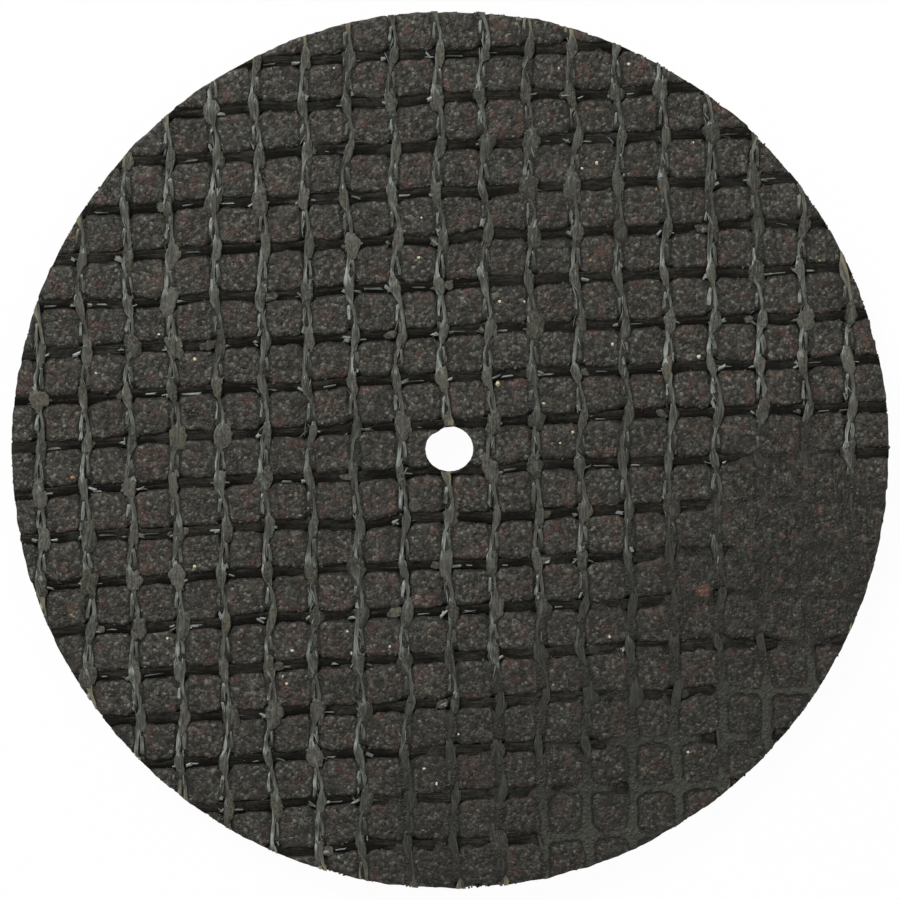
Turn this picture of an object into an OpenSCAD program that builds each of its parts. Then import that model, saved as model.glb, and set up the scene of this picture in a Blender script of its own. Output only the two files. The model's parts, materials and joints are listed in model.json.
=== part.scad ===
// Reinforced cut-off wheel for a hand-held rotary tool.
// A thin moulded abrasive disc with a leno-woven glass net pressed into each face.
// The wheel lies flat: the arbor hole's axis is +Z and the back face's yarns rest on z = 0.

/* [Wheel] */
// Outer diameter of the wheel
wheel_d = 32; // [22:0.5:50]
// Thickness between the two abrasive faces, yarns left out
body_t = 1.04; // [0.8:0.02:2]
// Diameter of the arbor hole
bore_d = 1.75; // [1.5:0.05:3.2]

/* [Glass net] */
// Spacing of the warp pairs
warp_pitch = 1.64; // [1.4:0.02:2.6]
// Spacing of the wefts
weft_pitch = 1.69; // [1.4:0.02:2.6]
// Lean of the warps from the Y axis, in degrees
warp_lean = 1.3; // [0:0.1:4]
// Lean of the wefts from the X axis, in degrees
weft_lean = 2.8; // [0:0.1:4]
// Sideways shift of the warps from the arbor hole
warp_shift = -0.18; // [-0.6:0.02:0.6]
// Shift of the wefts along the warps from the arbor hole
weft_shift = 0.1; // [-0.6:0.02:0.6]
// Sway of a warp pair to alternate sides, weft by weft
warp_sway = 0.08; // [0:0.01:0.1]
// Width of a warp pair midway between two wefts, where its two ends cross
waist_w = 0.26; // [0.16:0.02:0.36]
// Width of a warp pair over a weft, where its ends are pressed flat and apart
knot_w = 0.52; // [0.42:0.02:0.7]
// Height of the warps above the abrasive
warp_rise = 0.05; // [0.02:0.01:0.1]

/* [Weft channels] */
// Width of the channel that a weft leaves in the abrasive
weft_w = 0.42; // [0.3:0.02:0.6]
// Depth of the channel along its two walls
weft_depth = 0.15; // [0.1:0.01:0.2]
// Height of the weft's rounded crown above the channel's edges
weft_crown = 0.07; // [0.03:0.01:0.08]

/* [Moulding flaws on the front] */
// Radius of the lobes where the abrasive mix covers the net
cover_r = 2.6; // [1.6:0.1:3]
// Radius of the lobes where resin fills the weft channels
flood_r = 2.4; // [1.6:0.1:3]

/* [Hidden] */
$fn = 48;

// Solid material under a yarn's foot, so that its sides end inside the disc
foot = 0.1;
// How far the pressed sheet reaches past the wheel before it is cut round
trim = 0.6;
// Overrun of a cutting tool past the face that it opens
overrun = 0.2;

wheel_r = wheel_d / 2;
sheet_r = wheel_r + trim;
wheel_t = body_t + 2 * warp_rise;
front_z = wheel_t - warp_rise;

// Spacing of the wefts measured along a warp
weft_gap = weft_pitch / cos(weft_lean - warp_lean);
warp_count = floor(sheet_r / warp_pitch);
weft_count = floor(sheet_r / weft_pitch + 0.5);

// Centres of the covered lobes and of the flooded lobes, from the wheel's centre
cover_lobes = [[12.4, -1.6], [12.4, -4.4], [14.2, -3]];
flood_lobes = [[5, -14], [8.2, -12], [11.2, -9.4]];

// Distance of a warp and of a weft from the wheel's centre: a warp meets the
// arbor hole, which lies about midway between two wefts
function warp_offset(i) = i * warp_pitch + warp_shift;
function weft_offset(j) = (j + 0.5) * weft_pitch + weft_shift;

// Side to which a warp pair sways over weft j
function sway(j) = j % 2 == 0 ? warp_sway : -warp_sway;

// Half the length of a line that crosses the sheet at a distance from its centre
function half_chord(offset) = sqrt(max(0, sheet_r * sheet_r - offset * offset));

// Distance along warp i from its midpoint to weft j
function knot_place(i, j) =
    (weft_offset(j) + warp_offset(i) * sin(weft_lean - warp_lean)) / cos(weft_lean - warp_lean);

// Pointed oval of two arcs, which narrows to the waist half a weft's spacing from its middle
module knot() {
    sagitta = (knot_w - waist_w) / 2;
    arc_r = (weft_gap * weft_gap / 4 + sagitta * sagitta) / (2 * sagitta);
    intersection() {
        translate([arc_r - knot_w / 2, 0]) circle(r = arc_r);
        translate([knot_w / 2 - arc_r, 0]) circle(r = arc_r);
    }
}

// One warp pair: a chain of knots, one over each weft, whose ends cross at their waists
module warp_outline(i) {
    rotate(warp_lean) translate([warp_offset(i), 0])
        for (j = [-weft_count : weft_count - 1])
            if (abs(knot_place(i, j)) < half_chord(warp_offset(i)) + weft_gap / 2)
                translate([sway(j), knot_place(i, j)]) knot();
}

module weft_outline(j) {
    rotate(weft_lean) translate([0, weft_offset(j)])
        square([2 * half_chord(weft_offset(j)), weft_w], center = true);
}

module lobes(places, radius) {
    for (place = places)
        translate(place) circle(r = radius);
}

// Section of a weft channel: square walls and a rounded yarn crown between them
module channel_section() {
    crown_r = (weft_w * weft_w / 4 + weft_crown * weft_crown) / (2 * weft_crown);
    difference() {
        translate([-weft_w / 2, -weft_depth]) square([weft_w, weft_depth + overrun]);
        translate([0, weft_crown - weft_depth - crown_r]) circle(r = crown_r);
    }
}

module weft_channel(j) {
    length = 2 * half_chord(weft_offset(j));
    rotate(weft_lean) translate([-length / 2, weft_offset(j), 0])
        rotate([90, 0, 90]) linear_extrude(length) channel_section();
}

// Everything that the press leaves standing above one face
module raised_yarns(flooded) {
    translate([0, 0, -weft_depth - foot]) linear_extrude(weft_depth + foot + warp_rise)
        difference() {
            union() {
                for (i = [-warp_count : warp_count]) warp_outline(i);
                if (flooded)
                    intersection() {
                        for (j = [-weft_count : weft_count - 1]) weft_outline(j);
                        lobes(flood_lobes, flood_r);
                    }
            }
            if (flooded) lobes(cover_lobes, cover_r);
        }
}

// Everything that the wefts take out of one face
module channels(flooded) {
    difference() {
        for (j = [-weft_count : weft_count - 1]) weft_channel(j);
        if (flooded)
            translate([0, 0, -weft_depth - overrun]) linear_extrude(weft_depth + 3 * overrun) {
                lobes(cover_lobes, cover_r);
                lobes(flood_lobes, flood_r);
            }
    }
}

// Puts a face's shapes on the front, or mirrored on the back
module on_front() { translate([0, 0, front_z]) children(); }
module on_back() { translate([0, 0, warp_rise]) mirror([0, 0, 1]) children(); }

// The pressed sheet before it is cut round
module pressed_sheet() {
    difference() {
        translate([0, 0, warp_rise]) cylinder(r = sheet_r, h = body_t);
        on_front() channels(flooded = true);
        on_back() channels(flooded = false);
    }
    on_front() raised_yarns(flooded = true);
    on_back() raised_yarns(flooded = false);
}

module wheel() {
    color("#3d3c37") difference() {
        intersection() {
            pressed_sheet();
            cylinder(r = wheel_r, h = wheel_t);
        }
        translate([0, 0, -overrun]) cylinder(d = bore_d, h = wheel_t + 2 * overrun);
    }
}

wheel();
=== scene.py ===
"""Looks of a fibre-reinforced cut-off wheel: abrasive, woven glass net, resin flats and loose fibres."""

import functools
import itertools
import json
import logging
import math
from collections.abc import Callable, Iterator
from contextlib import contextmanager
from dataclasses import dataclass
from enum import Enum
from typing import Any, ClassVar

import bpy
import numpy as np
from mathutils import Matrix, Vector

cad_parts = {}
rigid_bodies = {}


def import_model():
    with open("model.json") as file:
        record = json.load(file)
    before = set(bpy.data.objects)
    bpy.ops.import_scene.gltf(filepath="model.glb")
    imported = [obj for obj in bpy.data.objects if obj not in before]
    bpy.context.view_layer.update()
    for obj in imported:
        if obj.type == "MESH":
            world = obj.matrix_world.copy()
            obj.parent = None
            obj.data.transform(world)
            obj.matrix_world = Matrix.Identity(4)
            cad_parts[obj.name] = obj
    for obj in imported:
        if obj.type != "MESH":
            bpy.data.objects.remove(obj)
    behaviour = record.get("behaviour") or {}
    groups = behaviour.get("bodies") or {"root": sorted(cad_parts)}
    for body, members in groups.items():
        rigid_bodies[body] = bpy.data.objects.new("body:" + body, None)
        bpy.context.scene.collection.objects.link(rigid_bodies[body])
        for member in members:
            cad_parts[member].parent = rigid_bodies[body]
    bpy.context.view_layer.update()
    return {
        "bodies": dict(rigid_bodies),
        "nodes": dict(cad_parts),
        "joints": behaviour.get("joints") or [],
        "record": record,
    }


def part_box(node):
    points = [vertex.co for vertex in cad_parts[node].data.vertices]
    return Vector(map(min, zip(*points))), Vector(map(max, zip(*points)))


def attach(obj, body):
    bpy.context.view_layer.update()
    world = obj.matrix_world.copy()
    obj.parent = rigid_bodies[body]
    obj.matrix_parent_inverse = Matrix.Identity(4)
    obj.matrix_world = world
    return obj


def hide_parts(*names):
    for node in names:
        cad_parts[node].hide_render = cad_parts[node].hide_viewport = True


LOG = logging.getLogger("cut_off_wheel")
MM = 0.001

# The photograph's frame, in pixels: its width, and the wheel's centre and diameter in it
PHOTO_PX = 900
WHEEL_CENTRE_PX = (450.3, 450.0)
WHEEL_DIAMETER_PX = 879.7

# How far a fibre or a grain may stand proud of the wheel's thickness
PROUD = 0.02
# Rings that one pass of the subdivide operator cuts safely
RINGS_PER_PASS = 80

Array = np.ndarray
Points = tuple[Array, Array]
Span = tuple[int, int]
Colour = tuple[float, float, float, float]
Piece = bpy.types.Object
Socket = bpy.types.NodeSocket
Material = bpy.types.Material


class Face(Enum):
    """The two faces of the wheel, with the direction in which each looks along Z."""

    FRONT = 1
    BACK = -1


def ramp(low: float, high: float, value: Array) -> Array:
    """Smooth step of a value from 0 to 1 between two limits, which may run downwards."""
    share = np.clip((value - low) / (high - low), 0.0, 1.0)
    return share * share * (3.0 - 2.0 * share)


def mixed(a: Any, b: Any, share: Any) -> Any:
    """Straight blend from a to b by a share from 0 to 1."""
    return a + (b - a) * share


class SmoothNoise:
    """Seeded value noise over the plane, from -1 to 1."""

    SIDE = 256

    def __init__(self, seed: int, cell: float) -> None:
        """Draws a table of values that lie a cell of so many millimetres apart."""
        self.table = np.random.default_rng(seed).uniform(-1.0, 1.0, (self.SIDE, self.SIDE))
        self.cell = cell

    def at(self, x: Array, y: Array) -> Array:
        """Noise at points of the plane.

        Args:
            x: the points' first coordinates, in millimetres.
            y: their second coordinates.
        Returns:
            One value from -1 to 1 for each point.
        """
        across, up = np.broadcast_arrays(np.asarray(x) / self.cell, np.asarray(y) / self.cell)
        column, row = np.floor(across).astype(int), np.floor(up).astype(int)
        right, top = ramp(0, 1, across - column), ramp(0, 1, up - row)
        a, b, c, d = (
            self.table[(column + i) % self.SIDE, (row + j) % self.SIDE] for j in (0, 1) for i in (0, 1)
        )
        return mixed(mixed(a, b, right), mixed(c, d, right), top)


@dataclass(frozen=True)
class WheelSizes:
    """The wheel's main sizes in millimetres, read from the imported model."""

    radius: float
    thickness: float
    bore_r: float
    warp_rise: float = 0.05
    # How far yarns stay clear of the rim's and the hole's edge
    slack: float = 0.02

    @classmethod
    def from_frame(cls, frame: dict[str, Any]) -> "WheelSizes":
        """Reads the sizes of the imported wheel.

        Args:
        Returns:
            The sizes.
        """
        low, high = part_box("wheel")
        bore = next(mount for mount in frame["record"]["mounts"] if mount["kind"] == "bore")
        return cls((high[0] - low[0]) / 2 / MM, (high[2] - low[2]) / MM, bore["dims"]["r_mm"])

    @property
    def pad_z(self) -> float:
        """Height of the abrasive's face above the wheel's middle plane."""
        return self.thickness / 2 - self.warp_rise

    def bore_edge(self, turn: Array) -> Array:
        """Radius of the worn hole by direction: off centre, flattened, with a nib at its upper left."""
        off_centre = 0.045 * np.sin(turn) - 0.035 * np.cos(turn)
        nib = 0.09 * np.exp(-(((turn - 2.18) / 0.3) ** 2))
        return self.bore_r + off_centre - 0.05 * np.sin(turn) ** 2 - nib

    def trimmed(self, x: Array, y: Array) -> Points:
        """Points brought in from the rim and out of the hole."""
        radius = np.maximum(np.hypot(x, y), 0.001)
        edge = self.bore_edge(np.arctan2(y, x)) + self.slack
        kept = np.clip(radius, edge, self.radius - self.slack) / radius
        return x * kept, y * kept


class GlassNet:
    """The woven net of one face: where each yarn runs, with the waver of real cloth."""

    WARP_PITCH, WEFT_PITCH = 1.64, 1.69
    WARP_LEAN, WEFT_LEAN = math.radians(1.3), math.radians(2.8)
    WARP_SHIFT, WEFT_SHIFT = -0.18, 0.075
    # How far the wefts sag towards the rim
    WEFT_BOW = -0.1
    # Spare rows past the rim, so that the waver can be read beyond it
    MARGIN = 4
    # How far a crossing strays from its place, and how far a warp sways to alternate sides
    WARP_STRAY, WEFT_STRAY, SWAY = 0.05, 0.045, 0.085

    def __init__(self, sizes: WheelSizes, face: Face, seed: int) -> None:
        """Draws the net's waver.

        Args:
            sizes: the wheel's sizes.
            face: the face that the net lies in.
            seed: seed of the waver.
        """
        self.sizes, self.face, self.rng = sizes, face, np.random.default_rng(seed)
        slant = self.WEFT_LEAN - self.WARP_LEAN
        self.sine, self.cosine, self.slope = math.sin(slant), math.cos(slant), math.tan(slant)
        self.warp_reach = int(sizes.radius / self.WARP_PITCH) + 1
        self.weft_reach = int(sizes.radius / self.WEFT_PITCH + 0.5) + 1
        self.warps = range(-self.warp_reach, self.warp_reach + 1)
        self.wefts = range(-self.weft_reach, self.weft_reach)
        self.first_warp, self.first_weft = self.warp_reach + self.MARGIN, self.weft_reach + self.MARGIN
        shape = (2 * self.first_warp + 1, 2 * self.first_weft + 1)
        self.warp_table = self.rng.normal(0.0, self.WARP_STRAY, shape)
        self.weft_table = self.rng.normal(0.0, self.WEFT_STRAY, shape)
        warp, weft = ((math.cos(lean), math.sin(lean)) for lean in (self.WARP_LEAN, self.WEFT_LEAN))
        # Directions across a yarn and along it
        self.warp_axes = np.array([warp, (-warp[1], warp[0])])
        self.weft_axes = np.array([(-weft[1], weft[0]), weft])

    def warp_offset(self, warp: Any) -> Any:
        """Distance of a warp's line from the wheel's centre: warp 0 passes through the arbor hole."""
        return warp * self.WARP_PITCH + self.WARP_SHIFT

    def weft_offset(self, weft: Any) -> Any:
        """Distance of a weft's line from the centre: the arbor hole lies between wefts -1 and 0."""
        return (weft + 0.5) * self.WEFT_PITCH + self.WEFT_SHIFT

    def weft_met(self, warp: Any, along: Array) -> Array:
        """Number of the weft, in fractions, that a warp meets at a distance along it."""
        offset = along * self.cosine - self.warp_offset(warp) * self.sine
        straight = (offset - self.WEFT_SHIFT) / self.WEFT_PITCH - 0.5
        below = np.floor(straight).astype(int)
        strays = [self.weft_waver(weft, self.place_on_weft(warp, straight)) for weft in (below, below + 1)]
        return straight - mixed(*strays, straight - below) / self.WEFT_PITCH

    def _crossing(self, warp: Any, line: Any) -> Any:
        """Distance along a warp at which it crosses a line as far from the centre as a weft's."""
        return (line + self.warp_offset(warp) * self.sine) / self.cosine

    def place_on_warp(self, warp: Any, weft: Any) -> Any:
        """Distance along a warp at which it crosses a weft."""
        stray = self.weft_waver(weft, self.place_on_weft(warp, weft))
        return self._crossing(warp, self.weft_offset(weft) + stray)

    def place_on_weft(self, warp: Any, weft: Any) -> Any:
        """Distance along a weft at which it crosses a warp."""
        return self.warp_offset(warp) / self.cosine + self.weft_offset(weft) * self.slope

    @staticmethod
    def _flowing(table: Array, row: Array, place: Array) -> Array:
        """Smooth curve through a row of a table, read at places in fractions of its columns."""
        row, place = np.broadcast_arrays(row, place)
        first = np.floor(place).astype(int)
        share, last = place - first, table.shape[1] - 1
        row = np.clip(row, 0, table.shape[0] - 1)
        a, b, c, d = (table[row, np.clip(first + step, 0, last)] for step in (-1, 0, 1, 2))
        bend = share * (c - a + share * (2 * a - 5 * b + 4 * c - d + share * (3 * (b - c) + d - a)))
        return b + 0.5 * bend

    def warp_waver(self, warp: Any, along: Array) -> Array:
        """Sideways stray of a warp at distances along it."""
        row = np.asarray(warp) + self.first_warp
        return self._flowing(self.warp_table, row, along / self.WEFT_PITCH + self.first_weft)

    def weft_waver(self, weft: Any, along: Array) -> Array:
        """Sideways stray of a weft at distances along it."""
        row = np.asarray(weft) + self.first_weft
        offset = (along - self.weft_offset(weft) * self.slope) * self.cosine
        place = (offset - self.WARP_SHIFT) / self.WARP_PITCH + self.first_warp
        return self._flowing(self.weft_table.T, row, place) + self.WEFT_BOW * (along / self.sizes.radius) ** 2

    def sway(self, warp: Any, along: Array) -> Array:
        """How far a warp's upper end leans to a side, which changes at each weft."""
        return self.SWAY * np.cos(np.pi * self.weft_met(warp, along))

    @staticmethod
    def _points(across: Array, along: Array, axes: Array) -> Points:
        """The x and y of points at distances across and along a set of yarns."""
        point = np.multiply.outer(across, axes[0]) + np.multiply.outer(along, axes[1])
        return point[..., 0], point[..., 1]

    def on_warp(self, warp: int, along: Array, aside: Array) -> Points:
        """Points at distances along a warp and to the right of its wavering line."""
        across = self.warp_offset(warp) + self.warp_waver(warp, along) + aside
        return self._points(across, along, self.warp_axes)

    def on_weft(self, weft: int, along: Array, aside: Array) -> Points:
        """Points at distances along a weft and above its wavering line."""
        across = self.weft_offset(weft) + self.weft_waver(weft, along) + aside
        return self._points(across, along, self.weft_axes)

    def nearest(self, x: Array, y: Array) -> tuple[Array, Array, Array, Array]:
        """Distances of points from the nearest yarns, and the pads that they lie in.

        Args:
            x: the points' first coordinates.
            y: their second coordinates.
        Returns:
            Distance from the nearest warp, distance from the nearest weft, and the pad's column and row.
        """
        point = np.stack([x, y], axis=-1)
        across, along, up, level = (point @ axis for axis in (*self.warp_axes, *self.weft_axes))
        column = np.floor((across - self.WARP_SHIFT) / self.WARP_PITCH).astype(int)
        row = np.floor((up - self.WEFT_SHIFT) / self.WEFT_PITCH - 0.5).astype(int)
        warps = [
            np.abs(across - self.warp_offset(n) - self.warp_waver(n, along)) for n in (column, column + 1)
        ]
        wefts = [np.abs(up - self.weft_offset(n) - self.weft_waver(n, level)) for n in (row, row + 1)]
        return np.minimum(*warps), np.minimum(*wefts), column, row

    def sheet_point(self, across: Array, up: Array) -> Points:
        """Points of the wavering sheet from their places in the net.

        Args:
            across: places counted in warps.
            up: places counted in wefts.
        Returns:
            The points' x and y.
        """
        column, row = np.floor(across).astype(int), np.floor(up).astype(int)
        along, level = self._crossing(across, self.weft_offset(up)), self.place_on_weft(across, up)
        shift = mixed(self.warp_waver(column, along), self.warp_waver(column + 1, along), across - column)
        lift = mixed(self.weft_waver(row, level), self.weft_waver(row + 1, level), up - row)
        x, y = self._points(self.warp_offset(across), along, self.warp_axes)
        (right, rise), (left, top) = self.warp_axes[0], self.weft_axes[0]
        return x + shift * right + lift * left, y + shift * rise + lift * top


class MouldingFlaws:
    """The flaws of the front: mix that covers the net, resin that fills it flush, and pits."""

    # Lobes as x, y and radius
    COVER_LOBES = ((12.4, -1.6, 2.6), (12.4, -4.4, 2.6), (14.2, -3.0, 2.6), (9.15, -5.55, 0.7))
    FLOOD_LOBES = ((5.0, -14.0, 2.4), (8.2, -12.0, 2.4), (11.2, -9.4, 2.4))
    RUST_LOBES = ((12.6, 3.2, 1.7),)
    # Pits where grains have broken out, and a lump of rust
    PITS = ((-9.43, 1.13, 0.18), (14.2, -2.55, 0.1), (-2.65, 6.45, 0.08), (-2.7, 8.55, 0.08))
    RUST_LUMPS = ((9.2, -5.1, 0.27),)
    # Width over which a flaw's edge fades, and how far that edge wanders
    FADE, WANDER = 1.4, 0.8
    NOISE = SmoothNoise(71, 0.9)

    def __init__(self, face: Face) -> None:
        """Notes whether a face has flaws: the back has none."""
        self.present = float(face is Face.FRONT)

    def _inside(self, x: Array, y: Array, lobes: tuple[tuple[float, ...], ...]) -> Array:
        """Share of a flaw at points, from 0 outside its lobes to 1 inside."""
        depth = np.max([radius - np.hypot(x - cx, y - cy) for cx, cy, radius in lobes], axis=0)
        ragged = self.WANDER * (self.NOISE.at(x, y) + 0.5 * self.NOISE.at(3 * x, 3 * y))
        return self.present * ramp(-self.FADE / 2, self.FADE / 2, depth + ragged)

    def cover(self, x: Array, y: Array) -> Array:
        """Share of the covering mix at points."""
        return self._inside(x, y, self.COVER_LOBES)

    def flood(self, x: Array, y: Array) -> Array:
        """Share of the flooding resin at points."""
        return self._inside(x, y, self.FLOOD_LOBES)

    def rust(self, x: Array, y: Array) -> Array:
        """Share of rusty grains at points: in the covering mix and above it."""
        return np.maximum(self.cover(x, y), 0.8 * self._inside(x, y, self.RUST_LOBES))

    def pit(self, x: Array, y: Array) -> Array:
        """Share of a pit's depth at points."""
        shares = [ramp(radius + 0.1, 0.5 * radius, np.hypot(x - px, y - py)) for px, py, radius in self.PITS]
        return self.present * np.max(shares, axis=0)

    def wet(self, x: Array, y: Array) -> Array:
        """Share to which resin has run over the warps at points: most around the flooded strip."""
        away = np.min([np.hypot(x - cx, y - cy) for cx, cy, _ in self.FLOOD_LOBES], axis=0)
        patches = 0.35 * ramp(0.1, 0.6, self.NOISE.at(x / 5, y / 5))
        return self.present * np.maximum(ramp(9.0, 5.5, away + 1.5 * self.NOISE.at(x / 2, y / 2)), patches)


class Relief:
    """Height of the abrasive on one face: rounded pads between the grooves that the yarns lie in."""

    # Half the width of the groove under a warp and under a weft, and how far it strays
    WARP_GROOVE, WEFT_GROOVE, SPREAD = 0.235, 0.2, 0.035
    WARP_DEPTH, WEFT_DEPTH, PIT_DEPTH = 0.12, 0.24, 0.18
    # The pads' corner radius, in flush resin too, and where their sloping edge starts and ends
    CORNER, FLOOD_CORNER = 0.1, 0.22
    EDGE = (-0.03, 0.09)
    PAD_CROWN, PAD_STRAY, RIM_WEAR = 0.025, 0.014, 0.05
    # Number of pads after which their stray repeats
    PADS = 64

    def __init__(self, net: GlassNet, flaws: MouldingFlaws, seed: int) -> None:
        """Draws the pads' stray.

        Args:
            net: the net of the face.
            flaws: the flaws of the face.
            seed: seed of the stray.
        """
        self.net, self.flaws = net, flaws
        self.pad_table = np.random.default_rng(seed).normal(0.0, 1.0, (self.PADS, self.PADS, 3))[..., 0]
        self.lumps, self.grains, self.gaps, self.runs = (
            SmoothNoise(seed + n, cell) for n, cell in enumerate((0.42, 0.15, 0.8, 0.4), 1)
        )

    def outside_pad(self, x: Array, y: Array) -> tuple[Array, Array, Array, Array]:
        """Distance of points outside their pad's rounded outline, with their place in the net.

        Args:
            x: the points' first coordinates.
            y: their second coordinates.
        Returns:
            Distance outside the pad, distance from the nearest weft, and the pad's column and row.
        """
        to_warp, to_weft, column, row = self.net.nearest(x, y)
        rounding = mixed(self.CORNER, self.FLOOD_CORNER, self.flaws.flood(x, y))
        chipped = 0.045 * self.lumps.at(1.8 * x + 50, 1.8 * y)
        past_warp = self.WARP_GROOVE + chipped + self.SPREAD * self.gaps.at(x, y) - to_warp + rounding
        past_weft = self.WEFT_GROOVE + chipped + self.SPREAD * self.gaps.at(x + 90, y) - to_weft + rounding
        corner = np.hypot(np.maximum(past_warp, 0), np.maximum(past_weft, 0))
        return corner + np.minimum(np.maximum(past_warp, past_weft), 0) - rounding, to_weft, column, row

    def groove(self, x: Array, y: Array) -> Array:
        """Share of open groove at points: 0 on a pad, and less under the covering mix."""
        return ramp(*self.EDGE, self.outside_pad(x, y)[0]) * (1.0 - 0.55 * self.flaws.cover(x, y))

    def fill(self, x: Array, y: Array) -> Array:
        """Share to which resin fills the grooves flush at points: the warps' first, then the wefts'."""
        to_warp, to_weft = self.net.nearest(x, y)[:2]
        wet, from_rim = self.flaws.wet(x, y), self.net.sizes.radius - np.hypot(x, y)
        crossing = np.exp(-((to_warp / 0.3) ** 2))
        flooded = self.flaws.flood(x, y) * (0.42 + 0.6 * self.gaps.at(x, y) + 0.5 * crossing)
        over_weft = ramp(0.2, 0.5, flooded) * mixed(0.72, 1.0, ramp(4.0, 0.8, from_rim))
        on_warp = ramp(0.22, 0.34, to_weft) * ramp(0.34, 0.24, to_warp)
        run = np.clip(0.42 + 0.4 * self.runs.at(x, y) + 0.45 * wet, 0.0, 0.6)
        over_wet = 0.45 * wet * ramp(-0.05, 0.35, self.gaps.at(2.2 * x + 20, 2.2 * y))
        return np.maximum(np.maximum(over_weft, over_wet), on_warp * run)

    def height(self, x: Array, y: Array) -> Array:
        """Height of the abrasive at points, from the plane of the pads' tops.

        Args:
            x: the points' first coordinates.
            y: their second coordinates.
        Returns:
            The heights in millimetres, mostly below zero.
        """
        outside, to_weft, column, row = self.outside_pad(x, y)
        stray = self.pad_table[column % self.PADS, row % self.PADS]
        rough = 0.02 * self.lumps.at(x, y) + 0.018 * self.grains.at(x, y)
        inside = np.clip(-outside / 0.6, 0.0, 1.0)
        pad = self.PAD_STRAY * (stray - 1.0) - self.PAD_CROWN * (1.0 - inside) ** 2 + rough
        deep = mixed(self.WARP_DEPTH, self.WEFT_DEPTH, ramp(0.36, 0.22, to_weft))
        floor = mixed(-deep + 0.4 * rough, 0.004 + 0.25 * rough, ramp(0.0, 0.75, self.fill(x, y)))
        share = ramp(*self.EDGE, outside)
        covered = -0.012 + 1.4 * rough - 0.045 * share * ramp(-0.3, 0.5, self.gaps.at(x, y))
        rim = self.net.sizes.radius
        worn = self.RIM_WEAR * ramp(rim - 0.16, rim, np.hypot(x, y)) + self.PIT_DEPTH * self.flaws.pit(x, y)
        return mixed(mixed(pad, floor, share), covered, self.flaws.cover(x, y)) - worn


def clear() -> None:
    """Leaves edit mode and deselects everything."""
    if bpy.context.mode != "OBJECT":
        bpy.ops.object.mode_set(mode="OBJECT")
    bpy.ops.object.select_all(action="DESELECT")


def pick(*pieces: Piece) -> None:
    """Selects some pieces and makes the first one active."""
    clear()
    for piece in pieces:
        piece.select_set(True)
    bpy.context.view_layer.objects.active = pieces[0]


@contextmanager
def editing(select: str = "SELECT") -> Iterator[None]:
    """Edit mode on the active piece, with all of it selected, or none of it with DESELECT."""
    bpy.ops.object.mode_set(mode="EDIT")
    bpy.ops.mesh.select_all(action=select)
    yield
    bpy.ops.object.mode_set(mode="OBJECT")


def added(operator: Callable[..., Any], **settings: Any) -> Piece:
    """The piece that a primitive operator adds, with nothing else selected."""
    clear()
    operator(**settings)
    return bpy.context.object


def points_of(piece: Piece) -> Array:
    """Vertex places of a piece as one array."""
    flat = np.empty(len(piece.data.vertices) * 3, dtype=np.float32)
    piece.data.vertices.foreach_get("co", flat)
    return flat.reshape(-1, 3).astype(float)


def move_points(piece: Piece, points: Array) -> None:
    """Moves a piece's vertices to new places."""
    piece.data.vertices.foreach_set("co", np.asarray(points, dtype=np.float32).ravel())
    piece.data.update()


def store(piece: Piece, name: str, values: Array) -> None:
    """Stores one value per vertex, for a material to read."""
    layer = piece.data.attributes.new(name, "FLOAT", "POINT")
    layer.data.foreach_set("value", np.asarray(values, dtype=np.float32).ravel())


def ringed_rod(sides: int, rings: int) -> Piece:
    """A straight closed rod of unit radius from z = 0 to z = 1, cut into rings.

    Args:
        sides: number of sides.
        rings: number of lengths that it is cut into.
    Returns:
        The rod.
    """
    rod = added(
        bpy.ops.mesh.primitive_cylinder_add, vertices=sides, radius=1.0, depth=1.0, location=(0, 0, 0.5)
    )
    bpy.ops.object.transform_apply(location=True, rotation=True, scale=True)
    coarse = math.ceil(rings / RINGS_PER_PASS)
    for lengths in (coarse, math.ceil(rings / coarse)):
        for part in (*rod.data.polygons, *rod.data.vertices):
            part.select = False
        for edge in rod.data.edges:
            low, high = (rod.data.vertices[n].co.z for n in edge.vertices)
            edge.select = abs(high - low) > 0.001
        if lengths > 1:
            bpy.ops.object.mode_set(mode="EDIT")
            bpy.ops.mesh.select_mode(type="EDGE")
            bpy.ops.mesh.subdivide(number_cuts=lengths - 1)
            bpy.ops.object.mode_set(mode="OBJECT")
    return rod


def joined(pieces: list[Piece], name: str) -> Piece:
    """Several pieces joined into one, with a name."""
    pick(*pieces)
    if len(pieces) > 1:
        bpy.ops.object.join()
    whole = bpy.context.object
    whole.name = whole.data.name = name
    return whole


def scattered(model: Piece, copies: Array, name: str) -> Piece:
    """One mesh of many copies of a small model, each with its own vertices.

    Args:
        model: the model, which is used up.
        copies: vertex places of each copy, as copies by vertices by 3.
        name: name of the piece.
    Returns:
        The piece.
    """
    count, size = copies.shape[:2]
    faces = [np.array(polygon.vertices) for polygon in model.data.polygons]
    starts = np.arange(count) * size
    loops = np.concatenate([(starts[:, None] + face).ravel() for face in faces])
    totals = np.concatenate([np.full(count, len(face)) for face in faces])
    mesh = bpy.data.meshes.new(name)
    mesh.vertices.add(count * size)
    mesh.vertices.foreach_set("co", copies.astype(np.float32).ravel())
    mesh.loops.add(len(loops))
    mesh.loops.foreach_set("vertex_index", loops.astype(np.int32))
    mesh.polygons.add(len(totals))
    mesh.polygons.foreach_set("loop_start", np.concatenate([[0], np.cumsum(totals)[:-1]]).astype(np.int32))
    mesh.update(calc_edges=True)
    piece = bpy.data.objects.new(name, mesh)
    bpy.context.collection.objects.link(piece)
    bpy.data.objects.remove(model)
    return piece


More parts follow.
